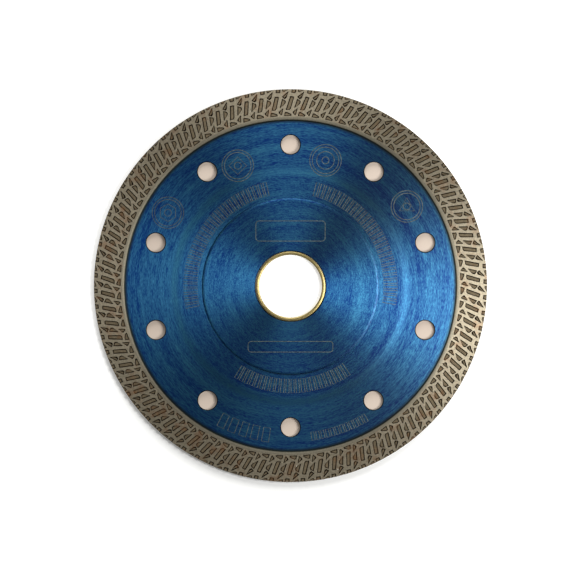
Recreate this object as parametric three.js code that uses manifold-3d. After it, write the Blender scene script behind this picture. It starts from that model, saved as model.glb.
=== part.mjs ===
// A 125 mm diamond blade with a sintered mesh rim, for cutting tile and porcelain on an angle grinder.
// Millimetres, +Z up. The blade lies flat: the origin is the centre of the bore, in the plane of the rear
// clamping face, and +Z runs along the spindle axis out of the front face.
import * as THREE from "three";
import { mergeVertices } from "three/addons/utils/BufferGeometryUtils.js";
import Module from "manifold-3d";

const wasm = await Module();
wasm.setup();

// Driving dimensions
const BLADE_DIAMETER = 125;
const RIM_HEIGHT = 10; // radial height of the sintered rim, its diamond-free foot included
const RIM_THICKNESS = 1.2; // width of cut
const BORE_DIAMETER = 22.23;
const BUSH_BORE_DIAMETER = 20;
const CENTRE_THICKNESS = 2; // over both stiffener discs
const CORE_THICKNESS = 0.9;
const STIFFENER_DIAMETER = 56;
const STIFFENER_THICKNESS = 0.4;
const VENT_DIAMETER = 6;
const VENT_CIRCLE_DIAMETER = 90;
const VENT_COUNT = 10;
const CELL_COUNT = 78; // repeats of the mesh pattern round the rim

// Dimensions that follow from them
const BLADE_RADIUS = BLADE_DIAMETER / 2;
const BORE_RADIUS = BORE_DIAMETER / 2;
const MID_PLANE = CENTRE_THICKNESS / 2;
const JOINT_GAP = 0.03; // room left between pieces that are fused or welded together
const PUSH_FIT_GAP = 0.05; // radial play of the reducing bush in the bore
const FOOT_INNER_RADIUS = BLADE_RADIUS - RIM_HEIGHT;
const FOOT_OUTER_RADIUS = FOOT_INNER_RADIUS + 1.3; // the diamond-free foot of the rim
const FOOT_BEVEL = 0.12;
const KEY_COUNT = CELL_COUNT / 3; // teeth on the core's edge, which the foot is sintered round
const KEY_ROOT_RADIUS = FOOT_INNER_RADIUS + 0.15;
const KEY_TIP_RADIUS = FOOT_INNER_RADIUS + 0.85;
const KEY_SHARE = 2 / 3; // of each tooth pitch
const HUB_RADIUS = 35.5; // the thicker middle of the core
const HUB_TAPER_RADIUS = 38;
const HUB_THICKNESS = CENTRE_THICKNESS - 2 * (STIFFENER_THICKNESS + JOINT_GAP);
const STIFFENER_BEVEL = 0.15;
const BORE_BEVEL = 0.25;
const BUSH_LENGTH = 1.8;
const BUSH_BEVEL = 0.2;
const SLOT_DEPTH = 0.3;
const SEGMENTS = 4 * KEY_COUNT; // flat sides of the large circles
const HUB_SEGMENTS = 72; // of the stiffener discs
const BUSH_SEGMENTS = 48;
const VENT_SEGMENTS = 20;

// One slanted slot of the mesh pattern: [share of a cell, distance in from the blade's edge].
const SLOT_OUTLINE = [
  [0.69, 6.6],
  [1.02, 6.5],
  [1.22, 2.4],
  [0.98, 2.2],
];

const FINISHES = {
  coatedSteel: { color: 0x1f5c99, roughness: 0.35, metalness: 0.9 },
  sinteredBond: { color: 0x8d8371, roughness: 0.7, metalness: 0.6 },
  bronzeBond: { color: 0x857259, roughness: 0.7, metalness: 0.6 },
  brass: { color: 0xc9a227, roughness: 0.3, metalness: 1 },
};

function toSolid(geometry) {
  const bare = geometry.clone();
  bare.deleteAttribute("normal");
  bare.deleteAttribute("uv");
  const merged = mergeVertices(bare);
  return new wasm.Manifold(
    new wasm.Mesh({
      numProp: 3,
      vertProperties: new Float32Array(merged.attributes.position.array),
      triVerts: new Uint32Array(merged.index.array),
    }),
  );
}

function toGeometry(solid) {
  const mesh = solid.getMesh();
  const geometry = new THREE.BufferGeometry();
  geometry.setAttribute("position", new THREE.BufferAttribute(mesh.vertProperties, 3));
  geometry.setIndex(new THREE.BufferAttribute(mesh.triVerts, 1));
  geometry.computeVertexNormals();
  return geometry;
}

// A ring about the Z axis from its section: [radius, height] points, counter-clockwise.
function turned(section, segments) {
  const closed = [...section, section[0]].map(([r, z]) => new THREE.Vector2(r, z));
  return toSolid(new THREE.LatheGeometry(closed, segments).rotateX(Math.PI / 2));
}

// A prism from a flat outline, over a stretch of Z.
function prism(points, bottom, top) {
  const shape = new THREE.Shape(points.map(([x, y]) => new THREE.Vector2(x, y)));
  const geometry = new THREE.ExtrudeGeometry(shape, { depth: top - bottom, bevelEnabled: false });
  return toSolid(geometry.translate(0, 0, bottom));
}

function polar(radius, angle) {
  return [radius * Math.cos(angle), radius * Math.sin(angle)];
}

// A block that follows the circle between two radii and two angles.
function arcBlock(inner, outer, from, to, bottom, top) {
  const steps = Math.max(1, Math.ceil(((to - from) * SEGMENTS) / (2 * Math.PI) - 1e-6));
  const along = (i) => from + ((to - from) * i) / steps;
  const points = [];
  for (let i = 0; i <= steps; i++) points.push(polar(outer, along(i)));
  for (let i = steps; i >= 0; i--) points.push(polar(inner, along(i)));
  return prism(points, bottom, top);
}

// Calls make(start angle, end angle) for each gap between two teeth of the core's edge.
function keyGaps(clearance, make) {
  const pitch = (2 * Math.PI) / KEY_COUNT;
  const ease = clearance / KEY_TIP_RADIUS;
  const gaps = [];
  for (let i = 0; i < KEY_COUNT; i++) {
    gaps.push(make((i + KEY_SHARE) * pitch + ease, (i + 1) * pitch - ease));
  }
  return gaps;
}

// Spring-steel core: a thicker hub that tapers to a thin web, ten cooling holes and a toothed edge.
function steelCore() {
  const web = CORE_THICKNESS / 2;
  const hub = HUB_THICKNESS / 2;
  let core = turned(
    [
      [BORE_RADIUS, MID_PLANE - hub],
      [HUB_RADIUS, MID_PLANE - hub],
      [HUB_TAPER_RADIUS, MID_PLANE - web],
      [KEY_TIP_RADIUS, MID_PLANE - web],
      [KEY_TIP_RADIUS, MID_PLANE + web],
      [HUB_TAPER_RADIUS, MID_PLANE + web],
      [HUB_RADIUS, MID_PLANE + hub],
      [BORE_RADIUS, MID_PLANE + hub],
    ],
    SEGMENTS,
  );
  for (let i = 0; i < VENT_COUNT; i++) {
    const angle = Math.PI / 2 + (i * 2 * Math.PI) / VENT_COUNT;
    const [x, y] = polar(VENT_CIRCLE_DIAMETER / 2, angle);
    const drill = new THREE.CylinderGeometry(
      VENT_DIAMETER / 2,
      VENT_DIAMETER / 2,
      CENTRE_THICKNESS,
      VENT_SEGMENTS,
    );
    core = core.subtract(toSolid(drill.rotateX(Math.PI / 2).translate(x, y, MID_PLANE)));
  }
  const beyond = KEY_TIP_RADIUS + 1;
  const notches = keyGaps(0, (from, to) => arcBlock(KEY_ROOT_RADIUS, beyond, from, to, 0, CENTRE_THICKNESS));
  for (const notch of notches) core = core.subtract(notch);
  return core;
}

// Diamond-free foot of the rim: wraps both faces of the core's edge and fills the gaps between its teeth.
function rimFoot() {
  const half = RIM_THICKNESS / 2;
  const groove = CORE_THICKNESS / 2 + JOINT_GAP;
  const wrap = FOOT_INNER_RADIUS;
  const floor = KEY_TIP_RADIUS + JOINT_GAP;
  let foot = turned(
    [
      [wrap + FOOT_BEVEL, MID_PLANE - half],
      [FOOT_OUTER_RADIUS, MID_PLANE - half],
      [FOOT_OUTER_RADIUS, MID_PLANE + half],
      [wrap + FOOT_BEVEL, MID_PLANE + half],
      [wrap, MID_PLANE + groove],
      [floor, MID_PLANE + groove],
      [floor, MID_PLANE - groove],
      [wrap, MID_PLANE - groove],
    ],
    SEGMENTS,
  );
  const inner = KEY_ROOT_RADIUS + JOINT_GAP;
  const outer = floor + JOINT_GAP;
  const keys = keyGaps(JOINT_GAP, (from, to) =>
    arcBlock(inner, outer, from, to, MID_PLANE - groove - JOINT_GAP, MID_PLANE + groove + JOINT_GAP),
  );
  for (const key of keys) foot = foot.add(key);
  return foot;
}

// Diamond-bearing rim, with the pattern's slanted slots pressed into both faces.
function diamondRim() {
  const half = RIM_THICKNESS / 2;
  const inner = FOOT_OUTER_RADIUS + JOINT_GAP;
  let rim = turned(
    [
      [inner, MID_PLANE - half],
      [BLADE_RADIUS, MID_PLANE - half],
      [BLADE_RADIUS, MID_PLANE + half],
      [inner, MID_PLANE + half],
    ],
    SEGMENTS,
  );
  const cell = (2 * Math.PI) / CELL_COUNT;
  const faceTop = MID_PLANE + half;
  const faceBottom = MID_PLANE - half;
  for (let i = 0; i < CELL_COUNT; i++) {
    // The pattern runs clockwise seen from the front, and clockwise seen from the rear as well.
    const outline = (turn) =>
      SLOT_OUTLINE.map(([share, inset]) => polar(BLADE_RADIUS - inset, turn * (i + share) * cell));
    rim = rim.subtract(prism(outline(-1), faceTop - SLOT_DEPTH, faceTop + 1));
    rim = rim.subtract(prism(outline(1), faceBottom - 1, faceBottom + SLOT_DEPTH));
  }
  return rim;
}

// Thin steel disc welded to one face of the hub, which stiffens the blade and takes the clamping flange.
function stiffenerDisc(outward) {
  const face = MID_PLANE + (outward * CENTRE_THICKNESS) / 2;
  const back = face - outward * STIFFENER_THICKNESS;
  const shoulder = face - outward * STIFFENER_BEVEL;
  const mouth = face - outward * BORE_BEVEL;
  const edge = STIFFENER_DIAMETER / 2;
  const section = [
    [BORE_RADIUS, back],
    [edge, back],
    [edge, shoulder],
    [edge - STIFFENER_BEVEL, face],
    [BORE_RADIUS + BORE_BEVEL, face],
    [BORE_RADIUS, mouth],
  ];
  return turned(outward > 0 ? section : section.reverse(), HUB_SEGMENTS);
}

// Brass bush that reduces the bore from 22.23 mm to 20 mm. It pushes in and out by hand.
function reducingBush() {
  const outer = BORE_RADIUS - PUSH_FIT_GAP;
  const inner = BUSH_BORE_DIAMETER / 2;
  const bottom = MID_PLANE - BUSH_LENGTH / 2;
  const top = MID_PLANE + BUSH_LENGTH / 2;
  return turned(
    [
      [inner + BUSH_BEVEL, bottom],
      [outer - BUSH_BEVEL, bottom],
      [outer, bottom + BUSH_BEVEL],
      [outer, top - BUSH_BEVEL],
      [outer - BUSH_BEVEL, top],
      [inner + BUSH_BEVEL, top],
      [inner, top - BUSH_BEVEL],
      [inner, bottom + BUSH_BEVEL],
    ],
    BUSH_SEGMENTS,
  );
}

function piece(name, solid, finish) {
  const mesh = new THREE.Mesh(toGeometry(solid), new THREE.MeshStandardMaterial(FINISHES[finish]));
  mesh.name = name;
  return mesh;
}

const blade = new THREE.Group();
blade.name = "diamond_blade";
blade.add(
  piece("steel_core", steelCore(), "coatedSteel"),
  piece("rim_foot", rimFoot(), "bronzeBond"),
  piece("diamond_rim", diamondRim(), "sinteredBond"),
  piece("front_stiffener_disc", stiffenerDisc(1), "coatedSteel"),
  piece("rear_stiffener_disc", stiffenerDisc(-1), "coatedSteel"),
  piece("reducing_bush", reducingBush(), "brass"),
);

export default blade;
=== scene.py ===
"""Looks of a diamond blade: blue lacquered steel core, mesh-patterned sintered rim, brass bush.

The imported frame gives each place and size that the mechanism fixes. Lengths below are in millimetres
unless a comment says otherwise, and a mesh is made in metres.
"""

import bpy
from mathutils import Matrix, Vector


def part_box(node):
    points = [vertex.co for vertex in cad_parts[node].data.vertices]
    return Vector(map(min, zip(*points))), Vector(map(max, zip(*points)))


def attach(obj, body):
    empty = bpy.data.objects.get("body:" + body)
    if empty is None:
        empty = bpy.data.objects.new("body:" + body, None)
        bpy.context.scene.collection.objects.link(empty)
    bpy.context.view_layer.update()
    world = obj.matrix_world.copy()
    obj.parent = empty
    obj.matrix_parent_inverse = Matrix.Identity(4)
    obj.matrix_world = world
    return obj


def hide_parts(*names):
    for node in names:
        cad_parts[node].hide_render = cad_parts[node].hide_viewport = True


bl_info = {
    "name": "Diamond Blade",
    "version": (1, 0, 0),
    "blender": (4, 5, 0),
    "location": "View3D > Sidebar > Blade",
    "description": "Builds the finished surfaces of a diamond blade round its packed frame",
    "category": "Add Mesh",
}

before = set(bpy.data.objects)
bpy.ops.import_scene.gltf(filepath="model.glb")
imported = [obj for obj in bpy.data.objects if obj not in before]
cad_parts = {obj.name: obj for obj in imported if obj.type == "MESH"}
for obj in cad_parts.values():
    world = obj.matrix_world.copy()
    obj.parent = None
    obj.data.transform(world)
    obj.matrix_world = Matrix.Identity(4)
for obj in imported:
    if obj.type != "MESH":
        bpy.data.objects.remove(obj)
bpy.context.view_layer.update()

import math

import bmesh
import bpy
from bpy.props import FloatProperty, FloatVectorProperty, IntProperty, PointerProperty
from mathutils import Matrix, Vector
from mathutils.geometry import delaunay_2d_cdt

MM = 0.001


def radius_range(node):
    """Smallest and largest distance of a frame node's corners from the blade's axis, in millimetres."""
    reach = [math.hypot(v.co.x, v.co.y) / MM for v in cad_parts[node].data.vertices]
    return min(reach), max(reach)


def height_range(node):
    """Lowest and highest point of a frame node, in millimetres."""
    low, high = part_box(node)
    return low.z / MM, high.z / MM


# Sizes that the frame fixes, in millimetres
RIM_INNER, BLADE_RADIUS = radius_range("diamond_rim")
FOOT_INNER = radius_range("rim_foot")[0]
BORE_RADIUS, CORE_RADIUS = radius_range("steel_core")
STIFFENER_RADIUS = radius_range("front_stiffener_disc")[1]
BUSH_INNER, BUSH_OUTER = radius_range("reducing_bush")
RIM_BOTTOM, RIM_TOP = height_range("diamond_rim")
MID_PLANE = (RIM_BOTTOM + RIM_TOP) / 2
RIM_HALF = (RIM_TOP - RIM_BOTTOM) / 2
HUB_HALF = height_range("steel_core")[1] - MID_PLANE
STIFFENER_BACK, CLAMP_FACE = (z - MID_PLANE for z in height_range("front_stiffener_disc"))
BUSH_HALF = height_range("reducing_bush")[1] - MID_PLANE

RING_SEGMENTS = 312
CELL_ARC_STEPS = 20  # straight stretches of one pattern cell's outer edge
INNER_ARC_STEPS = 5

# The rim's mesh pattern. A point is (share of a cell, depth in from the edge). Cells join along a rib.
CELL_SEAM = [(-0.05, 0.0), (-0.13, 2.2), (-0.235, 4.0), (-0.4, 6.6), (-0.56, 8.2), (-0.6, 8.67)]
POCKETS = {
    "long_slot": [
        (-0.33, 6.4), (-0.325, 6.6), (-0.05, 6.55), (0.03, 6.1), (0.24, 2.5), (0.215, 2.3), (-0.02, 2.12)
    ],
    "upper_triangle": [
        (0.435, 2.3), (0.46, 2.55), (0.61, 3.15), (0.73, 2.8), (0.87, 0.85), (0.845, 0.65)
    ],
    "middle_triangle": [
        (0.445, 2.95), (0.68, 3.65), (0.68, 4.3), (0.61, 4.75), (0.29, 5.9), (0.26, 5.7)
    ],
    "lower_triangle": [
        (0.47, 5.98), (0.5, 6.15), (0.39, 8.05), (0.325, 8.28), (0.155, 7.5), (0.145, 7.1)
    ],
    "foot_pocket": [(-0.405, 7.15), (-0.27, 7.15), (0.06, 7.85), (0.07, 8.45), (-0.48, 8.53)],
}
EDGE_NOTCHES = {
    "square_notch": [(0.06, 0.0), (0.055, 1.15), (0.335, 1.2), (0.37, 0.0)],
    "flat_notch": [(0.47, 0.0), (0.485, 0.85), (0.62, 0.8), (0.9, 0.0)],
}
# How far a pocket's wall leans in from lip to floor
POCKET_DRAFT = {
    "long_slot": 0.32,
    "upper_triangle": 0.34,
    "middle_triangle": 0.32,
    "lower_triangle": 0.28,
    "foot_pocket": 0.3,
    "square_notch": 0.34,
    "flat_notch": 0.26,
}
LIP = 0.035  # worn rounding of a pocket's lip
LEAST_COSINE = 0.35  # below which a sharp corner of an outline is blunted
LONGEST_MITRE = 2.2  # how far such a corner may move, in wall widths
MOST_SQUEEZE = 0.7  # of a small outline's reach
GRIT_DENSITY = 2.2e5  # crystals on a square metre
GRIT_SEED = 11

VENT_CHAMFER = 0.28
VENT_SEGMENTS = 48
BUSH_SEGMENTS = 192
SHARP_DEGREES = 24  # faces that meet at more than this are shaded with a hard edge
CRYSTAL_SHARP_DEGREES = 1
TAPER_MIDDLE = 37  # radius of the middle of the hub's taper

# Etched marks on the front face, kept plain: ring emblems, arcs of outlined bars and two blank panels.
EMBLEM_RADIUS = 5.0
# Each emblem: clockwise angle, radius, sides of the middle polygon
EMBLEMS = [(-59.0, 45.4, 6), (-23.6, 41.8, 4), (15.5, 41.5, 24), (55.5, 44.8, 3)]
BAR_ROWS = [  # first and last angle, inner and outer radius, pitch in degrees
    (14, 102, 29.6, 34.0, 2.9),
    (146, 213, 29.6, 34.0, 2.9),
    (258, 349, 29.6, 34.0, 2.9),
    (150, 174, 47.0, 49.6, 1.9),
    (188, 210, 45.7, 50.2, 4.3),
]
BAR_SHARE = 0.62  # of the pitch that a bar fills
PANELS = [(0, 17.6, 22, 6.4), (0, -19.2, 27, 3.4)]  # middle, width, height
MARK_WIDTH = 0.21
MARK_THICKNESS = 0.02

# Turned and ground marks: width of a mark, marks per radian
FINE_GRINDING = (0.22, 45)
BROAD_GRINDING = (0.32, 11)
GRINDING_RINGS = (2.6, 0.6)
LATHE_MARKS = (0.08, 6)
HEAT_TINT_AND_SHADE = "#1E2624"  # dark steel and bond: heat tint beside the rim, and painted shade in the step down to the foot, on the bore's chamfer and on the cooling holes' edges

FLOOR_HEIGHT = -0.15  # just clear of the crystals on the rear face
FLOOR_HALF_WIDTH = 2000
LAMPS = {  # place and size in metres, watts
    "key_lamp": ((0.13, -0.026, 0.2), 0.1, 0.46),
    "top_lamp": ((0.0, 0.26, 0.19), 0.2, 0.68),
}
ROOM_LIGHT = 0.02
VIEW_WIDTH = 0.1813  # metres across the view, at the blade
VIEW_MIDDLE = (-0.00175, 0.0004)
VIEW_DISTANCE = 0.75
VIEW_TILT = 2.5  # degrees from straight above, towards the top of the view
SENSOR_WIDTH = 36


def linear(hex_colour):
    """An sRGB hex colour as linear red, green, blue and alpha."""
    channels = [int(hex_colour[i : i + 2], 16) / 255 for i in (1, 3, 5)]
    bent = [c / 12.92 if c <= 0.04045 else ((c + 0.055) / 1.055) ** 2.4 for c in channels]
    return (*bent, 1.0)


def colour(name, about, hex_colour):
    """A colour property with its default."""
    return FloatVectorProperty(
        name=name, description=about, default=linear(hex_colour), size=4, min=0, max=1, subtype="COLOR"
    )


def length(name, about, millimetres):
    """A length property with its default."""
    return FloatProperty(
        name=name,
        description=about,
        default=millimetres * MM,
        min=0,
        precision=5,
        unit="LENGTH",
        subtype="DISTANCE",
    )


class BladeSizes(bpy.types.PropertyGroup):
    """Sizes of the visible detail."""

    cell_count: IntProperty(
        name="Pattern cells", description="Repeats of the mesh pattern round the rim", default=78, min=6
    )
    pocket_depth: length("Pocket depth", "Depth of the pattern's pockets in each face", 0.3)
    web_thickness: length("Web thickness", "Thickness of the core outside the hub", 0.9)
    hub_radius: length("Hub radius", "Where the core starts to thin down from the hub", 35.5)
    taper_radius: length("Taper radius", "Where the core has thinned down to the web", 38)
    vent_radius: length("Cooling hole radius", "Radius of each cooling hole", 3)
    vent_circle: length("Cooling hole circle", "Radius of the circle of cooling holes", 45)
    vent_count: IntProperty(
        name="Cooling holes", description="Number of cooling holes", default=10, min=1
    )
    grit_size: length("Grit size", "Width of a diamond crystal", 0.17)


class BladeColours(bpy.types.PropertyGroup):
    """Colours of the finishes."""

    lacquer: colour("Lacquer", "Blue lacquer over ground steel", "#4C9AB6")
    lacquer_deep: colour("Deep lacquer", "Where the lacquer lies thick in the grinding marks", "#0A3270")
    bond: colour("Bond", "Dressed lands of the sintered bond", "#A09681")
    bond_pocket: colour("Bond in pockets", "Floors of the pockets", "#877A63")
    # Painted shade: the pocket walls are painted almost black for the shade in the pockets.
    bond_wall_shade: colour("Bond on walls", "Walls of the pockets, left dark by the press", "#20160B")
    bond_tarnish: colour("Tarnish on bond", "Coppery tint where the bond has oxidised", "#8E6440")
    foot: colour("Foot", "Diamond-free bond at the rim's foot", "#918A78")
    brass: colour("Brass", "Turned brass of the bush", "#DCC98A")
    etched: colour("Etched steel", "Bare steel where the lacquer was burnt off", "#6C7874")
    crystal: colour("Diamond", "Industrial diamond crystals", "#C9C48A")
    floor: colour("Floor", "Plain floor under the blade", "#F0F0EE")
    # Painted shadow: the blade's shadow on the floor, seen through the cooling holes.
    floor_shade_under_blade: colour("Card", "Warm pale card seen through the cooling holes", "#CABAAB")


# Meshes


def new_piece(name, vertices, faces, material, sharp_degrees=SHARP_DEGREES):
    """An object from corners in millimetres, doubles merged and faces turned outwards."""
    mesh = bpy.data.meshes.new(name)
    mesh.from_pydata([Vector(v) * MM for v in vertices], [], faces)
    close_up(mesh)
    mesh.materials.append(material)
    shade(mesh, sharp_degrees)
    return placed(name, mesh)


def placed(name, mesh):
    """An object with this mesh, in the scene."""
    piece = bpy.data.objects.new(name, mesh)
    bpy.context.scene.collection.objects.link(piece)
    return piece


def applied(piece, modifier):
    """The plain mesh that a piece's modifier gives. The modifier is removed."""
    graph = bpy.context.evaluated_depsgraph_get()
    graph.update()
    mesh = bpy.data.meshes.new_from_object(piece.evaluated_get(graph))
    piece.modifiers.remove(modifier)
    return mesh


def close_up(mesh):
    """Merges corners that meet, then turns every face outwards."""
    work = bmesh.new()
    work.from_mesh(mesh)
    bmesh.ops.remove_doubles(work, verts=work.verts, dist=0.002 * MM)
    bmesh.ops.recalc_face_normals(work, faces=work.faces)
    work.to_mesh(mesh)
    work.free()


def shade(mesh, sharp_degrees=SHARP_DEGREES):
    """Smooth shading, with hard edges where faces meet at more than an angle."""
    mesh.shade_smooth()
    mesh.set_sharp_from_angle(angle=math.radians(sharp_degrees))


def turned(section, segments=RING_SEGMENTS):
    """Corners and faces of a ring turned from a closed section of (radius, height) points."""
    vertices, faces = [], []
    count = len(section)
    for i in range(segments):
        angle = 2 * math.pi * i / segments
        vertices += [(r * math.cos(angle), r * math.sin(angle), z + MID_PLANE) for r, z in section]
        here, there = i * count, (i + 1) % segments * count
        for j in range(count):
            k = (j + 1) % count
            faces.append((here + j, there + j, there + k, here + k))
    return vertices, faces


def both_faces(upper):
    """A closed section: its upper half, listed from end to end, and that half's mirror image."""
    return upper + [(r, -z) for r, z in reversed(upper)]


def clock_point(radius, degrees):
    """The point at a clockwise angle from +Y, seen from the front."""
    angle = math.radians(90 - degrees)
    return radius * math.cos(angle), radius * math.sin(angle)


def stroke(points, level, closed=False):
    """Corners and faces of an etched line through plane points. level(radius) gives its height."""
    vertices, faces = [], []
    count = len(points)
    for i, (x, y) in enumerate(points):
        before = points[i - 1] if closed or i > 0 else points[i]
        after = points[(i + 1) % count] if closed or i < count - 1 else points[i]
        along = Vector((after[0] - before[0], after[1] - before[1])).normalized()
        side = Vector((-along.y, along.x)) * MARK_WIDTH / 2
        height = level(math.hypot(x, y))
        for lift in (-MARK_THICKNESS, MARK_THICKNESS):
            vertices.append((x + side.x, y + side.y, height + lift))
            vertices.append((x - side.x, y - side.y, height + lift))
    links = count if closed else count - 1
    for i in range(links):
        a, b = 4 * i, 4 * ((i + 1) % count)
        for j, k in ((0, 1), (1, 3), (3, 2), (2, 0)):
            faces.append((a + j, a + k, b + k, b + j))
    if not closed:
        last = 4 * (count - 1)
        faces += [(0, 2, 3, 1), (last, last + 1, last + 3, last + 2)]
    return vertices, faces


def joined(parts):
    """Several (corners, faces) as one."""
    vertices, faces = [], []
    for more_vertices, more_faces in parts:
        start = len(vertices)
        vertices += more_vertices
        faces += [tuple(start + i for i in face) for face in more_faces]
    return vertices, faces


# Nodes


def node(tree, kind, inputs=None, **settings):
    """Adds a node: settings are its own properties, and inputs are values or the sockets linked to it.
    A node as an input stands for the first output that its settings turn on."""
    made = tree.nodes.new(kind)
    for name, value in settings.items():
        setattr(made, name, value)
    for key, value in (inputs or {}).items():
        if isinstance(value, bpy.types.Node):
            value = next(output for output in value.outputs if output.enabled)
        if isinstance(value, bpy.types.NodeSocket):
            tree.links.new(value, made.inputs[key])
        else:
            made.inputs[key].default_value = value
    return made


def new_material(name, surface_of, *given):
    """A material whose surface takes the inputs that surface_of adds the nodes for."""
    material = bpy.data.materials.new(name)
    material.use_nodes = True
    tree = material.node_tree
    tree.nodes.clear()
    surface = node(tree, "ShaderNodeBsdfPrincipled", surface_of(tree, *around_axis(tree), *given))
    node(tree, "ShaderNodeOutputMaterial", {"Surface": surface})
    return material


def around_axis(tree):
    """What a pattern follows: the radius, the outward direction and the place, in metres."""
    place = node(tree, "ShaderNodeTexCoord").outputs["Object"]
    flat = node(tree, "ShaderNodeVectorMath", {0: place, 1: (1, 1, 0)}, operation="MULTIPLY")
    radius = node(tree, "ShaderNodeVectorMath", {0: flat}, operation="LENGTH")
    outward = node(tree, "ShaderNodeVectorMath", {0: flat}, operation="NORMALIZE")
    return radius, outward, place


def turning_marks(tree, radius, outward, marks):
    """Noise drawn out along circles. Marks give their width and how many fill a radian."""
    width, turns = marks
    across = node(tree, "ShaderNodeMath", {0: radius, 1: width * MM}, operation="DIVIDE")
    lift = node(tree, "ShaderNodeCombineXYZ", {"Z": across})
    along = node(tree, "ShaderNodeVectorMath", {0: outward, "Scale": turns}, operation="SCALE")
    where = node(tree, "ShaderNodeVectorMath", {0: along, 1: lift}, operation="ADD")
    return node(
        tree, "ShaderNodeTexNoise", {"Vector": where, "Scale": 1.0, "Detail": 2.0, "Roughness": 0.6}
    )


def bond_grain(tree, place, size, darkest, lightest):
    """Grain of a sintered bond, and the shade it gives. Size is a grain's width."""
    grain = node(
        tree,
        "ShaderNodeTexNoise",
        {"Vector": place, "Scale": 1 / (size * MM), "Detail": 4.0, "Roughness": 0.7},
    )
    shade_of = node(
        tree,
        "ShaderNodeMapRange",
        {"Value": grain, "From Min": 0.3, "From Max": 0.7, "To Min": darkest, "To Max": lightest},
    )
    return grain, shade_of


def vent_distance(tree, place, radius, sizes):
    """How far a place is from the middle of the nearest cooling hole."""
    sector = 2 * math.pi / sizes.vent_count
    x, y, _ = node(tree, "ShaderNodeSeparateXYZ", {0: place}).outputs
    clock = node(tree, "ShaderNodeMath", {0: x, 1: y}, operation="ARCTAN2")
    folded = node(tree, "ShaderNodeMath", {0: clock, 1: sector / 2, 2: -sector / 2}, operation="WRAP")
    along = node(tree, "ShaderNodeMath", {0: folded, 1: radius}, operation="MULTIPLY")
    across = node(tree, "ShaderNodeMath", {0: radius, 1: sizes.vent_circle}, operation="SUBTRACT")
    offset = node(tree, "ShaderNodeCombineXYZ", {"X": along, "Y": across})
    return node(tree, "ShaderNodeVectorMath", {0: offset}, operation="LENGTH")


def lacquered_ground_steel(tree, radius, outward, place, colours, sizes):
    """Translucent blue lacquer over circular-ground spring steel: a deep metallic blue that flares into
    radial fans of light, because the grinding marks run round the bore."""
    fine = turning_marks(tree, radius, outward, FINE_GRINDING)
    broad = turning_marks(tree, radius, outward, BROAD_GRINDING)
    rings = turning_marks(tree, radius, outward, GRINDING_RINGS)
    fainter = node(tree, "ShaderNodeMath", {0: broad, 1: 0.8, 2: fine}, operation="MULTIPLY_ADD")
    marks = node(tree, "ShaderNodeMath", {0: rings, 1: 0.6, 2: fainter}, operation="MULTIPLY_ADD")
    depth = node(tree, "ShaderNodeMapRange", {"Value": marks, "From Min": 1.0, "From Max": 1.9})
    lacquer = node(
        tree, "ShaderNodeMix", {0: depth, 6: colours.lacquer_deep, 7: colours.lacquer}, data_type="RGBA"
    )
    # The taper is turned finer than the rest, so it is smoother and shines more where light falls along
    # it; its tint is also lifted towards the plain lacquer, a painted highlight along the taper.
    off_taper = node(tree, "ShaderNodeMath", {0: radius, 1: TAPER_MIDDLE * MM}, operation="SUBTRACT")
    from_taper = node(tree, "ShaderNodeMath", {0: off_taper}, operation="ABSOLUTE")
    taper_polish_and_sheen = node(
        tree,
        "ShaderNodeMapRange",
        {"Value": from_taper, "From Min": 1.9 * MM, "From Max": 0.5 * MM, "To Max": 0.18},
    )
    lacquer = node(tree, "ShaderNodeMix", {0: taper_polish_and_sheen, 6: lacquer, 7: colours.lacquer}, data_type="RGBA")
    # A thin ring round the bore is painted dark: painted shade on the bore's chamfer and in the gap to
    # the bush.
    bore_chamfer_shade = node(
        tree,
        "ShaderNodeMapRange",
        {"Value": radius, "From Min": (BORE_RADIUS + 0.3) * MM, "From Max": (BORE_RADIUS + 0.18) * MM},
    )
    # Beside the rim the coat is painted dark: partly heat tint from the sintering, partly painted shade
    # in the step up to the foot.
    heat_tint_and_step_shade = node(
        tree,
        "ShaderNodeMapRange",
        {"Value": radius, "From Min": (FOOT_INNER - 0.9) * MM, "From Max": (FOOT_INNER + 0.1) * MM},
    )
    # The cooling holes' chamfered edges are painted dark too: painted shade on the holes' walls.
    edge_blur = 0.04
    cut = node(
        tree,
        "ShaderNodeMapRange",
        {
            "Value": vent_distance(tree, place, radius, sizes),
            "From Min": sizes.vent_radius + VENT_CHAMFER * MM,
            "From Max": sizes.vent_radius + (VENT_CHAMFER - edge_blur) * MM,
        },
    )
    # Painted shade on the bore's chamfer and the holes' edges, joined with the heat tint and step shade
    # beside the rim.
    edges = node(tree, "ShaderNodeMath", {0: bore_chamfer_shade, 1: cut}, operation="MAXIMUM")
    dark = node(tree, "ShaderNodeMath", {0: edges, 1: heat_tint_and_step_shade}, operation="MAXIMUM")
    tint = node(tree, "ShaderNodeMix", {0: dark, 6: lacquer, 7: linear(HEAT_TINT_AND_SHADE)}, data_type="RGBA")
    ground = node(tree, "ShaderNodeMapRange", {"Value": depth, "To Min": 0.5, "To Max": 0.34})
    roughness = node(tree, "ShaderNodeMath", {0: taper_polish_and_sheen, 1: -0.3, 2: ground}, operation="MULTIPLY_ADD")
    bump = node(tree, "ShaderNodeBump", {"Height": fine, "Strength": 0.35, "Distance": 0.006 * MM})
    return {
        "Base Color": tint,
        "Metallic": 1.0,
        "Roughness": roughness,
        "Anisotropic": 0.8,
        "Tangent": outward,
        "Normal": bump,
        "Coat Weight": 0.25,
        "Coat Roughness": 0.3,
    }


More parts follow.
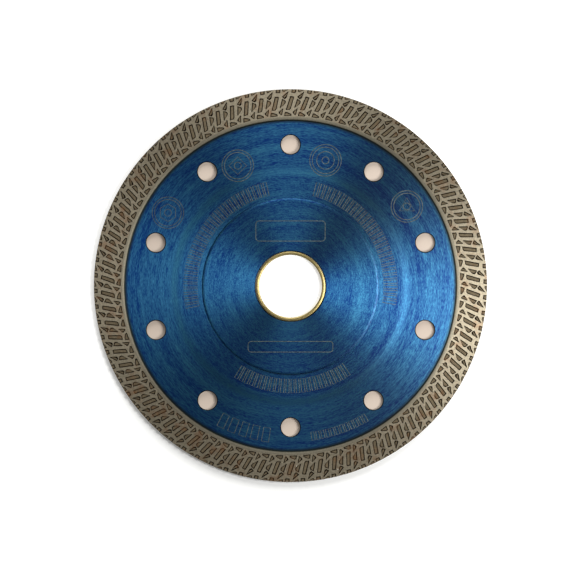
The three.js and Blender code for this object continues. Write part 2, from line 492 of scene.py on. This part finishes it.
def sintered_bond(tree, radius, outward, place, colours, depth):
    """Hot-pressed metal bond: lands dressed to a dull grey-beige grain, pocket floors browner and
    rougher, walls painted almost black as painted shade in the pockets, and a coppery tarnish in
    blotches."""
    height = node(tree, "ShaderNodeSeparateXYZ", {0: place}).outputs["Z"]
    off_middle = node(tree, "ShaderNodeMath", {0: height, 1: MID_PLANE * MM}, operation="SUBTRACT")
    rise = node(tree, "ShaderNodeMath", {0: off_middle}, operation="ABSOLUTE")
    floor = (RIM_HALF * MM) - depth
    grain, shade_of = bond_grain(tree, place, 0.5, 0.66, 1.22)
    # Up the pocket walls the colour turns almost black: painted shade in the pockets.
    wall = node(
        tree,
        "ShaderNodeMapRange",
        {"Value": rise, "From Min": floor + 0.004 * MM, "From Max": floor + 0.03 * MM},
    )
    land = node(
        tree,
        "ShaderNodeMapRange",
        {"Value": rise, "From Min": (RIM_HALF - LIP) * MM, "From Max": RIM_HALF * MM},
    )
    sunk = node(
        tree, "ShaderNodeMix", {0: wall, 6: colours.bond_pocket, 7: colours.bond_wall_shade}, data_type="RGBA"
    )
    mixed = node(tree, "ShaderNodeMix", {0: land, 6: sunk, 7: colours.bond}, data_type="RGBA")
    blotches = node(tree, "ShaderNodeTexNoise", {"Vector": place, "Scale": 1 / (3.0 * MM), "Detail": 3.0})
    tarnish = node(
        tree, "ShaderNodeMapRange", {"Value": blotches, "From Min": 0.54, "From Max": 0.72, "To Max": 0.5}
    )
    tinted = node(
        tree, "ShaderNodeMix", {0: tarnish, 6: mixed, 7: colours.bond_tarnish}, data_type="RGBA"
    )
    toned = node(tree, "ShaderNodeVectorMath", {0: tinted, "Scale": shade_of}, operation="SCALE")
    roughness = node(tree, "ShaderNodeMapRange", {"Value": land, "To Min": 0.72, "To Max": 0.5})
    bump = node(tree, "ShaderNodeBump", {"Height": grain, "Strength": 0.6, "Distance": 0.05 * MM})
    return {
        "Base Color": toned,
        "Metallic": 0.9,
        "Roughness": roughness,
        "Anisotropic": 0.7,
        "Tangent": outward,
        "Normal": bump,
    }


def foot_bond(tree, radius, outward, place, colours):
    """Diamond-free bronze-rich bond: duller and browner than the rim, with a dark line where it meets the
    core: partly a real oxide line, partly painted shade in the step down to the core."""
    grain, shade_of = bond_grain(tree, place, 0.4, 0.75, 1.15)
    # Near its inner edge the foot is painted dark: partly oxide, partly painted shade in the step.
    clear_of_oxide_and_shade = node(
        tree,
        "ShaderNodeMapRange",
        {"Value": radius, "From Min": (FOOT_INNER + 0.3) * MM, "From Max": (FOOT_INNER + 0.6) * MM},
    )
    tint = node(
        tree, "ShaderNodeMix", {0: clear_of_oxide_and_shade, 6: linear(HEAT_TINT_AND_SHADE), 7: colours.foot}, data_type="RGBA"
    )
    toned = node(tree, "ShaderNodeVectorMath", {0: tint, "Scale": shade_of}, operation="SCALE")
    bump = node(tree, "ShaderNodeBump", {"Height": grain, "Strength": 0.5, "Distance": 0.04 * MM})
    return {
        "Base Color": toned,
        "Metallic": 0.9,
        "Roughness": 0.48,
        "Anisotropic": 0.7,
        "Tangent": outward,
        "Normal": bump,
    }


def turned_brass(tree, radius, outward, place, colours):
    """Free-cutting brass from the lathe: bright yellow, with fine turning marks round it."""
    fine = turning_marks(tree, radius, outward, LATHE_MARKS)
    tint = node(
        tree, "ShaderNodeMix", {0: fine, 6: linear("#8A7848"), 7: colours.brass}, data_type="RGBA"
    )
    roughness = node(tree, "ShaderNodeMapRange", {"Value": fine, "To Min": 0.32, "To Max": 0.5})
    bump = node(tree, "ShaderNodeBump", {"Height": fine, "Strength": 0.3, "Distance": 0.006 * MM})
    return {
        "Base Color": tint,
        "Metallic": 1.0,
        "Roughness": roughness,
        "Anisotropic": 0.5,
        "Tangent": outward,
        "Normal": bump,
    }


def etched_steel(tree, radius, outward, place, colours):
    """Bare steel where a laser has burnt the lacquer off: matt grey with a straw heat tint."""
    fleck = node(tree, "ShaderNodeTexNoise", {"Vector": place, "Scale": 1 / (0.6 * MM), "Detail": 3.0})
    spread = node(tree, "ShaderNodeMapRange", {"Value": fleck, "From Min": 0.35, "From Max": 0.65})
    tint = node(
        tree, "ShaderNodeMix", {0: spread, 6: linear("#424C4A"), 7: colours.etched}, data_type="RGBA"
    )
    return {"Base Color": tint, "Metallic": 0.7, "Roughness": 0.6}


def diamond_crystal(tree, radius, outward, place, colours):
    """Synthetic diamond grit: small greenish-yellow crystals whose facets catch the light."""
    pick = node(tree, "ShaderNodeTexVoronoi", {"Vector": place, "Scale": 1 / (0.3 * MM)}).outputs["Color"]
    share = node(tree, "ShaderNodeSeparateColor", {0: pick}).outputs["Red"]
    tint = node(
        tree, "ShaderNodeMix", {0: share, 6: linear("#7E7A5C"), 7: colours.crystal}, data_type="RGBA"
    )
    return {"Base Color": tint, "Roughness": 0.15, "IOR": 2.42}


def white_sweep(tree, radius, outward, place, colours):
    """Matt white sweep: it reads as white to the eye and in reflections, and keeps the shadow. Its glow
    and tint carry painted shade: darker under the blade and towards -Y, brighter away from the blade.
    """
    path = node(tree, "ShaderNodeLightPath")
    seen = path.outputs["Is Camera Ray"]
    for ray in ("Is Glossy Ray", "Is Transmission Ray"):
        seen = node(tree, "ShaderNodeMath", {0: seen, 1: path.outputs[ray]}, operation="MAXIMUM")
    # Under the blade the floor is painted a darker warm tint and glows less: painted shadow of the blade,
    # seen through the cooling holes.
    outside_bore = node(
        tree, "ShaderNodeMapRange", {"Value": radius, "From Min": 20 * MM, "From Max": 30 * MM}
    )
    inside_edge = node(
        tree, "ShaderNodeMapRange", {"Value": radius, "From Min": 57 * MM, "From Max": 54 * MM}
    )
    under = node(tree, "ShaderNodeMath", {0: outside_bore, 1: inside_edge}, operation="MULTIPLY")
    tint = node(tree, "ShaderNodeMix", {0: under, 6: colours.floor, 7: colours.floor_shade_under_blade}, data_type="RGBA")
    # The sweep's glow is painted light and shade: it glows more away from the blade, and less towards -Y,
    # as painted shade where the blade's shadow lies.
    across = node(tree, "ShaderNodeSeparateXYZ", {0: place}).outputs["Y"]
    near = node(
        tree,
        "ShaderNodeMapRange",
        {"Value": across, "From Min": -60 * MM, "From Max": -10 * MM, "To Min": 0.22, "To Max": 0.62},
    )
    away = node(
        tree,
        "ShaderNodeMapRange",
        {"Value": radius, "From Min": 64 * MM, "From Max": 72 * MM, "To Min": near, "To Max": 1.0},
    )
    # Under the blade the glow drops to a fifth: painted shadow.
    painted_floor_light = node(tree, "ShaderNodeMix", {0: under, 2: away, 3: 0.2}, data_type="FLOAT")
    lift = node(tree, "ShaderNodeMath", {0: seen, 1: painted_floor_light}, operation="MULTIPLY")
    return {"Base Color": tint, "Roughness": 0.9, "Emission Color": tint, "Emission Strength": lift}


# Geometry Nodes


def new_tree(name, inputs):
    """A Geometry Nodes tree with a mesh in, a mesh out and the named inputs: {name: (kind, default)}."""
    tree = bpy.data.node_groups.new(name, "GeometryNodeTree")
    face = tree.interface
    face.new_socket("Geometry", in_out="INPUT", socket_type="NodeSocketGeometry")
    face.new_socket("Geometry", in_out="OUTPUT", socket_type="NodeSocketGeometry")
    for label, (kind, default) in inputs.items():
        socket = face.new_socket(label, in_out="INPUT", socket_type="NodeSocket" + kind)
        if kind != "Material":
            socket.default_value = default
    return tree, node(tree, "NodeGroupInput"), node(tree, "NodeGroupOutput")


def ended(tree, last, given, result):
    """The tree, with what its last node makes turned into a real mesh in the given material."""
    real = node(tree, "GeometryNodeRealizeInstances", {0: last})
    painted = node(
        tree, "GeometryNodeSetMaterial", {"Geometry": real, "Material": given.outputs["Material"]}
    )
    tree.links.new(painted.outputs[0], result.inputs[0])
    return tree


def made_by(tree, base, name, values, sharp_degrees=SHARP_DEGREES):
    """Runs a tree on a base object and returns the result as a plain piece. The base is used up."""
    modifier = base.modifiers.new("Made", "NODES")
    modifier.node_group = tree
    for item in tree.interface.items_tree:
        if item.in_out == "INPUT" and item.name in values:
            modifier[item.identifier] = values[item.name]
    mesh = applied(base, modifier)
    bpy.data.objects.remove(base)
    # Joining leaves an empty material slot.
    for i in reversed(range(len(mesh.materials))):
        if mesh.materials[i] is None:
            mesh.materials.pop(index=i)
    close_up(mesh)
    shade(mesh, sharp_degrees)
    mesh.name = name
    return placed(name, mesh)


def ring_of_cells_tree():
    """Repeats a cell of the rim's front half round the axis, and turns a copy over for the rear."""
    tree, given, result = new_tree(
        "Ring of cells",
        {"Count": ("Int", 78), "Mid plane": ("Float", 0.001), "Material": ("Material", None)},
    )
    points = node(tree, "GeometryNodePoints", {"Count": given.outputs["Count"]})
    index = node(tree, "GeometryNodeInputIndex")
    step = node(tree, "ShaderNodeMath", {0: 2 * math.pi, 1: given.outputs["Count"]}, operation="DIVIDE")
    turn = node(tree, "ShaderNodeMath", {0: index, 1: step}, operation="MULTIPLY")
    rotation = node(tree, "ShaderNodeCombineXYZ", {"Z": turn})
    spread = node(
        tree,
        "GeometryNodeInstanceOnPoints",
        {"Points": points, "Instance": given.outputs["Geometry"], "Rotation": rotation},
    )
    front = node(tree, "GeometryNodeRealizeInstances", {0: spread})
    twice = node(tree, "ShaderNodeMath", {0: given.outputs["Mid plane"], 1: 2.0}, operation="MULTIPLY")
    lift = node(tree, "ShaderNodeCombineXYZ", {"Z": twice})
    rear = node(
        tree,
        "GeometryNodeTransform",
        {"Geometry": front, "Rotation": (math.pi, 0, 0), "Translation": lift},
    )
    whole = node(tree, "GeometryNodeJoinGeometry")
    tree.links.new(front.outputs[0], whole.inputs[0])
    tree.links.new(rear.outputs[0], whole.inputs[0])
    return ended(tree, whole, given, result)


def grit_tree():
    """Scatters small crystals over a mesh, sunk about half into it."""
    tree, given, result = new_tree(
        "Grit",
        {
            "Density": ("Float", 1.0e5),
            "Size": ("Float", 0.0002),
            "Seed": ("Int", 7),
            "Material": ("Material", None),
        },
    )
    ground, density, width, seed, *_ = given.outputs
    scatter = node(
        tree, "GeometryNodeDistributePointsOnFaces", {"Mesh": ground, "Density": density, "Seed": seed}
    )
    crystal = node(tree, "GeometryNodeMeshIcoSphere", {"Radius": 0.5, "Subdivisions": 1})
    size = node(tree, "FunctionNodeRandomValue", {2: 0.6, 3: 1.2, "Seed": seed}, data_type="FLOAT")
    scale = node(tree, "ShaderNodeMath", {0: size, 1: width}, operation="MULTIPLY")
    spin = node(
        tree,
        "FunctionNodeRandomValue",
        {0: (0, 0, 0), 1: (6.28, 6.28, 6.28), "Seed": seed},
        data_type="FLOAT_VECTOR",
    )
    spread = node(
        tree,
        "GeometryNodeInstanceOnPoints",
        {"Points": scatter.outputs["Points"], "Instance": crystal, "Rotation": spin, "Scale": scale},
    )
    return ended(tree, spread, given, result)


# The rim's cell


def cell_point(share, inset, cell_count):
    """A plane point of the pattern: share of a cell clockwise from +Y, and depth in from the edge."""
    return clock_point(BLADE_RADIUS - inset, share * 360 / cell_count)


def stepped_arc(start, stop, inset, step):
    """Pattern points along a circle, at the ends and at every whole step between them."""
    marks = [k * step for k in range(math.ceil(start / step + 0.01), math.floor(stop / step - 0.01) + 1)]
    return [(share, inset) for share in [start, *marks, stop]]


def shrunk(points, distance, closed):
    """An outline with each side moved inwards. An open one keeps its ends on the circle they lie on."""
    count = len(points)
    area = sum(points[i - 1][0] * points[i][1] - points[i][0] * points[i - 1][1] for i in range(count))
    inwards = 1 if area > 0 else -1
    moved = []
    for i, point in enumerate(points):
        here = Vector(point)
        sides = []
        if closed or i > 0:
            sides.append((here - Vector(points[i - 1])).normalized())
        if closed or i < count - 1:
            sides.append((Vector(points[(i + 1) % count]) - here).normalized())
        normals = [Vector((-s.y, s.x)) * inwards for s in sides]
        if len(normals) == 1:
            outward = here.normalized()
            slide = normals[0] - outward * normals[0].dot(outward)
            shifted = here + slide.normalized() * distance
            moved.append(tuple(shifted.normalized() * here.length))
            continue
        middle = (normals[0] + normals[1]).normalized()
        mitre = min(1 / max(middle.dot(normals[0]), LEAST_COSINE), LONGEST_MITRE)
        moved.append(tuple(here + middle * mitre * distance))
    if closed and any(
        (Vector(moved[i]) - Vector(moved[i - 1])).dot(Vector(points[i]) - Vector(points[i - 1])) <= 0
        for i in range(count)
    ):
        return drawn_in(points, distance)
    return moved


def drawn_in(points, distance):
    """A small outline squeezed along and across its longest side, for where moved sides would cross."""
    count = len(points)
    middle = sum((Vector(p) for p in points), Vector((0, 0))) / count
    sides = [Vector(points[i]) - Vector(points[i - 1]) for i in range(count)]
    along = max(sides, key=lambda side: side.length).normalized()
    squeezed = [Vector((0, 0)) for _ in points]
    for axis in (along, Vector((-along.y, along.x))):
        spans = [(Vector(p) - middle).dot(axis) for p in points]
        keep = 1 - min(distance / min(max(spans), -min(spans)), MOST_SQUEEZE)
        squeezed = [place + axis * span * keep for place, span in zip(squeezed, spans)]
    return [tuple(middle + place) for place in squeezed]


def inside(point, outline):
    """True if the point lies in the outline."""
    x, y = point
    within = False
    for i, (x0, y0) in enumerate(outline):
        x1, y1 = outline[i - 1]
        if (y0 > y) != (y1 > y) and x < (x1 - x0) * (y - y0) / (y1 - y0) + x0:
            within = not within
    return within


def filled(outline, holes, place):
    """Triangles that fill an outline round its holes, with each plane point placed in space."""
    loops = [outline, *holes]
    points = [Vector(p) for loop in loops for p in loop]
    edges, start = [], 0
    for loop in loops:
        edges += [(start + i, start + (i + 1) % len(loop)) for i in range(len(loop))]
        start += len(loop)
    flat, _, triangles, *_ = delaunay_2d_cdt(points, edges, [], 0, 1e-5)
    faces = []
    for triangle in triangles:
        middle = sum((flat[i] for i in triangle), Vector((0, 0))) / 3
        if inside(middle, outline) and not any(inside(middle, hole) for hole in holes):
            faces.append(tuple(triangle))
    return [place(p) for p in flat], faces


def wall_between(upper, lower, closed):
    """Side faces between two outlines of the same number of points, already placed in space."""
    count = len(upper)
    sides = [(i, (i + 1) % count) for i in range(count if closed else count - 1)]
    return upper + lower, [(i, j, count + j, count + i) for i, j in sides]


def rim_cell(cell_count, depth):
    """One cell of the rim's front half, from its face down to the mid-plane, open on its two seams."""
    top = RIM_TOP
    floor = RIM_TOP - depth
    lip = RIM_TOP - LIP

    def plane(points):
        return [cell_point(share, inset, cell_count) for share, inset in points]

    def at(height):
        return lambda point: (*point, height)

    def along_edge(start, stop, height):
        return [(share, height) for share, _ in stepped_arc(start, stop, edge_inset, step)]

    def sink(name, points, closed):
        """Adds a worn lip and a leaning wall. Returns the outlines below the lip and at the floor."""
        rim = plane(points)
        worn, low = shrunk(rim, LIP, closed), shrunk(rim, POCKET_DRAFT[name], closed)
        levels = [list(map(at(z), loop)) for z, loop in ((top, rim), (lip, worn), (floor, low))]
        parts.extend(wall_between(upper, lower, closed) for upper, lower in zip(levels, levels[1:]))
        return worn, low

    step = 1 / CELL_ARC_STEPS
    left_edge, right_edge = CELL_SEAM[0][0], CELL_SEAM[0][0] + 1
    left_foot, right_foot = CELL_SEAM[-1][0], CELL_SEAM[-1][0] + 1
    edge_inset, foot_inset = 0.0, BLADE_RADIUS - RIM_INNER
    seam = CELL_SEAM[1:-1]
    parts = []

    # The land: the whole face less its pockets and notches.
    rim_side, cursor = [], left_edge
    for notch in EDGE_NOTCHES.values():
        rim_side += stepped_arc(cursor, notch[0][0], edge_inset, step)
        rim_side += notch[1:-1]
        cursor = notch[-1][0]
    rim_side += stepped_arc(cursor, right_edge, edge_inset, step)
    foot_side = stepped_arc(left_foot, right_foot, foot_inset, 1 / INNER_ARC_STEPS)[::-1]
    right_seam = [(share + 1, inset) for share, inset in seam]
    outline = plane(rim_side + right_seam + foot_side + seam[::-1])
    holes = [plane(pocket) for pocket in POCKETS.values()]
    parts.append(filled(outline, holes, at(top)))

    # Closed pockets
    for name, pocket in POCKETS.items():
        _, low = sink(name, pocket, True)
        parts.append(filled(low, [], at(floor)))

    # Notches, which run out through the edge. Their ends give the edge its outline.
    profile, cursor = [], left_edge
    for name, notch in EDGE_NOTCHES.items():
        start, stop = notch[0][0], notch[-1][0]
        worn, low = sink(name, notch, False)
        shares = [clock_share(p, cell_count) for p in (worn[0], low[0], low[-1], worn[-1])]
        floor_edge = stepped_arc(shares[1], shares[2], edge_inset, step)
        parts.append(filled(low[:-1] + plane(floor_edge)[::-1][:-1], [], at(floor)))
        profile += along_edge(cursor, start, top)
        profile += [(shares[0], lip), *along_edge(shares[1], shares[2], floor), (shares[3], lip)]
        cursor = stop
    profile += along_edge(cursor, right_edge, top)

    # The outer edge, from that outline down to the mid-plane.
    foot_line = along_edge(left_edge, right_edge, MID_PLANE)

    def on_edge(p):
        return (*cell_point(p[0], edge_inset, cell_count), p[1])

    parts.append(filled(profile + foot_line[::-1], [], on_edge))

    # The inner edge, which the foot covers.
    inner = plane(foot_side)
    parts.append(wall_between(list(map(at(top), inner)), list(map(at(MID_PLANE), inner)), False))
    return joined(parts)


def clock_share(point, cell_count):
    """The share of a cell at which a plane point lies, clockwise from +Y."""
    degrees = 90 - math.degrees(math.atan2(point[1], point[0]))
    return (degrees + 180) % 360 * cell_count / 360 - cell_count / 2


# Operators


class BLADE_OT_core(bpy.types.Operator):
    """Core: hub, taper and web, with chamfered cooling holes"""

    bl_idname = "blade.core"
    bl_label = "Build the core"

    def execute(self, context):
        sizes = context.scene.blade_sizes
        web = sizes.web_thickness / MM / 2
        hub, taper = sizes.hub_radius / MM, sizes.taper_radius / MM
        upper = [
            (BORE_RADIUS, HUB_HALF),
            (hub - 0.5, HUB_HALF),
            (hub, HUB_HALF - 0.006),
            (hub + 0.5, HUB_HALF - 0.028),
            (taper - 0.5, web + 0.022),
            (taper, web + 0.005),
            (taper + 0.5, web),
            (FOOT_INNER - 0.4, web),
            (CORE_RADIUS, web),
        ]
        material = context.scene["blade_lacquer"]
        core = new_piece("core_plate", *turned(both_faces(upper)), material)
        circle, hole = sizes.vent_circle / MM, sizes.vent_radius / MM
        cutters = [
            vent_cutter(*clock_point(circle, i * 360 / sizes.vent_count), hole, web)
            for i in range(sizes.vent_count)
        ]
        cutter = new_piece("vent_cutters", *joined(cutters), material)
        cut = core.modifiers.new("Vents", "BOOLEAN")
        cut.object = cutter
        cut.operation = "DIFFERENCE"
        cut.solver = "EXACT"
        core.data = applied(core, cut)
        bpy.data.objects.remove(cutter)
        shade(core.data)
        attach(core, "blade")
        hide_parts("steel_core")
        return {"FINISHED"}


def vent_cutter(x, y, radius, web):
    """A plug that cuts one cooling hole and chamfers its edge on both faces."""
    reach = web + 0.5
    outer = radius + VENT_CHAMFER + 0.5
    upper = [(0.0, reach), (outer, reach), (radius + VENT_CHAMFER, web), (radius, web - VENT_CHAMFER)]
    vertices, faces = turned(both_faces(upper), VENT_SEGMENTS)
    return [(x + a, y + b, c) for a, b, c in vertices], faces


class BLADE_OT_stiffeners(bpy.types.Operator):
    """Stiffener discs: thin plates with a crisp bevelled edge, one on each face"""

    bl_idname = "blade.stiffeners"
    bl_label = "Build the stiffener discs"

    def execute(self, context):
        edge = [
            (STIFFENER_RADIUS, STIFFENER_BACK),
            (STIFFENER_RADIUS, CLAMP_FACE - 0.26),
            (STIFFENER_RADIUS - 0.07, CLAMP_FACE - 0.11),
            (STIFFENER_RADIUS - 0.4, CLAMP_FACE),
            (STIFFENER_RADIUS - 0.8, CLAMP_FACE),
            (BORE_RADIUS + 0.6, CLAMP_FACE),
            (BORE_RADIUS + 0.3, CLAMP_FACE),
            (BORE_RADIUS + 0.02, CLAMP_FACE - 0.28),
            (BORE_RADIUS, CLAMP_FACE - 0.32),
            (BORE_RADIUS, STIFFENER_BACK),
        ]
        for side, name in ((1, "front"), (-1, "rear")):
            section = [(r, side * z) for r, z in edge]
            disc = new_piece(name + "_stiffener_plate", *turned(section), context.scene["blade_lacquer"])
            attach(disc, "blade")
            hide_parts(name + "_stiffener_disc")
        return {"FINISHED"}


class BLADE_OT_rim(bpy.types.Operator):
    """Diamond rim: the mesh of slots and triangles pressed into both faces and out through the edge"""

    bl_idname = "blade.rim"
    bl_label = "Build the rim"

    def execute(self, context):
        sizes = context.scene.blade_sizes
        material = context.scene["blade_bond"]
        cell = new_piece("rim_cell", *rim_cell(sizes.cell_count, sizes.pocket_depth / MM), material)
        rim = made_by(
            ring_of_cells_tree(),
            cell,
            "mesh_rim",
            {"Count": sizes.cell_count, "Mid plane": MID_PLANE * MM, "Material": material},
        )
        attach(rim, "blade")
        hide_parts("diamond_rim")
        return {"FINISHED"}


class BLADE_OT_foot(bpy.types.Operator):
    """Foot: the plain band that grips the core's edge, with a dark step down to it"""

    bl_idname = "blade.foot"
    bl_label = "Build the foot"

    def execute(self, context):
        web = context.scene.blade_sizes.web_thickness / MM / 2 + 0.02
        upper = [
            (CORE_RADIUS + 0.03, web),
            (FOOT_INNER, web),
            (FOOT_INNER + 0.1, web + 0.02),
            (FOOT_INNER + 0.45, RIM_HALF - 0.05),
            (FOOT_INNER + 0.6, RIM_HALF),
            (RIM_INNER, RIM_HALF),
        ]
        foot = new_piece("rim_foot_band", *turned(both_faces(upper)), context.scene["blade_foot_bond"])
        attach(foot, "blade")
        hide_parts("rim_foot")
        return {"FINISHED"}


class BLADE_OT_grit(bpy.types.Operator):
    """Grit: diamond crystals standing out of the rim's lands and edge"""

    bl_idname = "blade.grit"
    bl_label = "Scatter the grit"

    def execute(self, context):
        size = context.scene.blade_sizes.grit_size
        material = context.scene["blade_crystal"]
        ground = placed("grit_ground", bpy.data.objects["mesh_rim"].data.copy())
        work = bmesh.new()
        work.from_mesh(ground.data)
        land = RIM_HALF - 0.01
        sunk = [
            face
            for face in work.faces
            if abs(face.normal.z) > 0.3 and abs(face.calc_center_median().z / MM - MID_PLANE) < land
        ]
        bmesh.ops.delete(work, geom=sunk, context="FACES")
        work.to_mesh(ground.data)
        work.free()
        grit = made_by(
            grit_tree(),
            ground,
            "diamond_grit",
            {"Density": GRIT_DENSITY, "Size": size, "Seed": GRIT_SEED, "Material": material},
            CRYSTAL_SHARP_DEGREES,
        )
        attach(grit, "blade")
        return {"FINISHED"}


class BLADE_OT_bush(bpy.types.Operator):
    """Bush: the turned brass ring in the bore"""

    bl_idname = "blade.bush"
    bl_label = "Build the bush"

    def execute(self, context):
        upper = [
            (BUSH_INNER, BUSH_HALF - 0.2),
            (BUSH_INNER + 0.06, BUSH_HALF - 0.07),
            (BUSH_INNER + 0.2, BUSH_HALF),
            (BUSH_OUTER - 0.22, BUSH_HALF),
            (BUSH_OUTER - 0.06, BUSH_HALF - 0.06),
            (BUSH_OUTER, BUSH_HALF - 0.2),
        ]
        vertices, faces = turned(both_faces(upper), BUSH_SEGMENTS)
        bush = new_piece("brass_bush", vertices, faces, context.scene["blade_brass"], 40)
        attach(bush, "bush")
        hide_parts("reducing_bush")
        return {"FINISHED"}


class BLADE_OT_marks(bpy.types.Operator):
    """Marks: plain ring emblems, graduated arcs and blank panels, etched through the lacquer"""

    bl_idname = "blade.marks"
    bl_label = "Etch the marks"

    def execute(self, context):
        sizes = context.scene.blade_sizes
        web = MID_PLANE + sizes.web_thickness / MM / 2
        hub = MID_PLANE + HUB_HALF
        hub_edge, web_edge = sizes.hub_radius / MM, sizes.taper_radius / MM

        def core_level(radius):
            share = min(max((radius - hub_edge) / (web_edge - hub_edge), 0), 1)
            return hub + (web - hub) * share

        def disc_level(radius):
            return MID_PLANE + CLAMP_FACE - MARK_THICKNESS / 2

        strokes = []
        for degrees, radius, sides in EMBLEMS:
            x, y = clock_point(radius, degrees)
            for share, corners in ((1, 64), (0.84, 64), (0.56, sides), (0.22, 24)):
                strokes.append(stroke(regular(x, y, EMBLEM_RADIUS * share, corners), core_level, True))
        for row in BAR_ROWS:
            strokes += bars(*row, core_level)
        strokes += [panel(*row, disc_level) for row in PANELS]
        marks = new_piece("etched_marks", *joined(strokes), context.scene["blade_etched"], 60)
        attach(marks, "blade")
        return {"FINISHED"}


def regular(x, y, radius, sides):
    """A regular polygon, or a circle with many sides, with one corner towards +Y."""
    turn = 2 * math.pi / sides
    return [(x + radius * math.sin(i * turn), y + radius * math.cos(i * turn)) for i in range(sides)]


def bars(start, stop, inner, outer, pitch, level):
    """Outlined upright bars, side by side round an arc between two clockwise angles."""
    made = []
    width = pitch * BAR_SHARE
    for i in range(int((stop - start) / pitch)):
        near, far = start + i * pitch, start + i * pitch + width
        places = ((inner, near), (outer, near), (outer, far), (inner, far))
        made.append(stroke([clock_point(*place) for place in places], level, True))
    return made


def panel(x, y, width, tall, level):
    """A blank rounded rectangle."""
    points, corner = [], 1.0
    for quarter, (sx, sy) in enumerate(((1, 1), (-1, 1), (-1, -1), (1, -1))):
        cx, cy = x + sx * (width / 2 - corner), y + sy * (tall / 2 - corner)
        for i in range(5):
            angle = (quarter + i / 4) * math.pi / 2
            points.append((cx + corner * math.cos(angle), cy + corner * math.sin(angle)))
    return stroke(points, level, True)


class BLADE_OT_stage(bpy.types.Operator):
    """Stage: pale floor, soft lamps and a camera nearly straight above the front face"""

    bl_idname = "blade.stage"
    bl_label = "Set the stage"

    def execute(self, context):
        scene = context.scene
        scene.view_settings.view_transform = "Standard"
        self.make_floor(context)
        self.make_world(scene)
        for name, (place, size, watts) in LAMPS.items():
            lamp(name, place, size, watts)
        self.make_camera(scene)
        return {"FINISHED"}

    def make_floor(self, context):
        """A floor just under the blade."""
        material = new_material("White sweep", white_sweep, context.scene.blade_colours)
        half = FLOOR_HALF_WIDTH
        plan = [(-half, -half), (half, -half), (half, half), (-half, half)]
        corners = [(x, y, FLOOR_HEIGHT) for x, y in plan]
        floor = new_piece("floor", corners, [(0, 1, 2, 3)], material)

    def make_world(self, scene):
        """An even dim room, which the eye sees as plain white."""
        world = bpy.data.worlds.new("Soft white room")
        world.use_nodes = True
        tree = world.node_tree
        tree.nodes.clear()
        path = node(tree, "ShaderNodeLightPath")
        room = node(tree, "ShaderNodeBackground", {"Color": (1, 1, 1, 1), "Strength": ROOM_LIGHT})
        backdrop = node(tree, "ShaderNodeBackground", {"Color": (1, 1, 1, 1), "Strength": 1.0})
        mixed = node(
            tree, "ShaderNodeMixShader", {0: path.outputs["Is Camera Ray"], 1: room, 2: backdrop}
        )
        node(tree, "ShaderNodeOutputWorld", {"Surface": mixed})
        scene.world = world

    def make_camera(self, scene):
        """A long lens nearly straight above the blade."""
        data = bpy.data.cameras.new("camera")
        data.sensor_width = SENSOR_WIDTH
        data.lens = SENSOR_WIDTH * VIEW_DISTANCE / VIEW_WIDTH
        data.clip_start = 0.01
        camera = bpy.data.objects.new("camera", data)
        tilt = math.radians(VIEW_TILT)
        target = Vector((*VIEW_MIDDLE, MID_PLANE * MM))
        back = Vector((0, math.sin(tilt), math.cos(tilt)))
        camera.location = target + back * VIEW_DISTANCE
        camera.rotation_mode = "QUATERNION"
        right = Vector((1, 0, 0))
        up = back.cross(right)
        camera.rotation_quaternion = Matrix((right, up, back)).transposed().to_quaternion()
        scene.collection.objects.link(camera)
        scene.camera = camera


def lamp(name, place, size, watts):
    """A soft square lamp that faces the blade's centre."""
    data = bpy.data.lights.new(name, "AREA")
    data.shape = "SQUARE"
    data.size = size
    data.energy = watts
    made = bpy.data.objects.new(name, data)
    made.location = place
    made.rotation_mode = "QUATERNION"
    made.rotation_quaternion = Vector(place).to_track_quat("Z", "Y")
    bpy.context.scene.collection.objects.link(made)


class BLADE_PT_panel(bpy.types.Panel):
    """Sizes, colours and pieces of the blade"""

    bl_label = "Diamond blade"
    bl_idname = "BLADE_PT_panel"
    bl_space_type = "VIEW_3D"
    bl_region_type = "UI"
    bl_category = "Blade"

    def draw(self, context):
        for group in (context.scene.blade_sizes, context.scene.blade_colours):
            box = self.layout.box()
            for name in group.__annotations__:
                box.prop(group, name)
        for operator in PIECES:
            self.layout.operator(operator.bl_idname)


PIECES = (
    BLADE_OT_stage,
    BLADE_OT_core,
    BLADE_OT_stiffeners,
    BLADE_OT_rim,
    BLADE_OT_foot,
    BLADE_OT_grit,
    BLADE_OT_bush,
    BLADE_OT_marks,
)
CLASSES = (BladeSizes, BladeColours, *PIECES, BLADE_PT_panel)


def register():
    for cls in CLASSES:
        bpy.utils.register_class(cls)
    bpy.types.Scene.blade_sizes = PointerProperty(type=BladeSizes)
    bpy.types.Scene.blade_colours = PointerProperty(type=BladeColours)


def unregister():
    del bpy.types.Scene.blade_colours
    del bpy.types.Scene.blade_sizes
    for cls in reversed(CLASSES):
        bpy.utils.unregister_class(cls)


def main():
    register()
    scene = bpy.context.scene
    sizes, colours = scene.blade_sizes, scene.blade_colours
    finishes = {
        "blade_lacquer": ("Blue lacquer on ground steel", lacquered_ground_steel, colours, sizes),
        "blade_bond": ("Sintered metal bond", sintered_bond, colours, sizes.pocket_depth),
        "blade_foot_bond": ("Bronze-rich foot bond", foot_bond, colours),
        "blade_brass": ("Turned brass", turned_brass, colours),
        "blade_etched": ("Laser-etched steel", etched_steel, colours),
        "blade_crystal": ("Diamond grit", diamond_crystal, colours),
    }
    for key, given in finishes.items():
        scene[key] = new_material(*given)
    for operator in PIECES:
        group, name = operator.bl_idname.split(".")
        getattr(getattr(bpy.ops, group), name)()


if __name__ == "__main__":
    main()
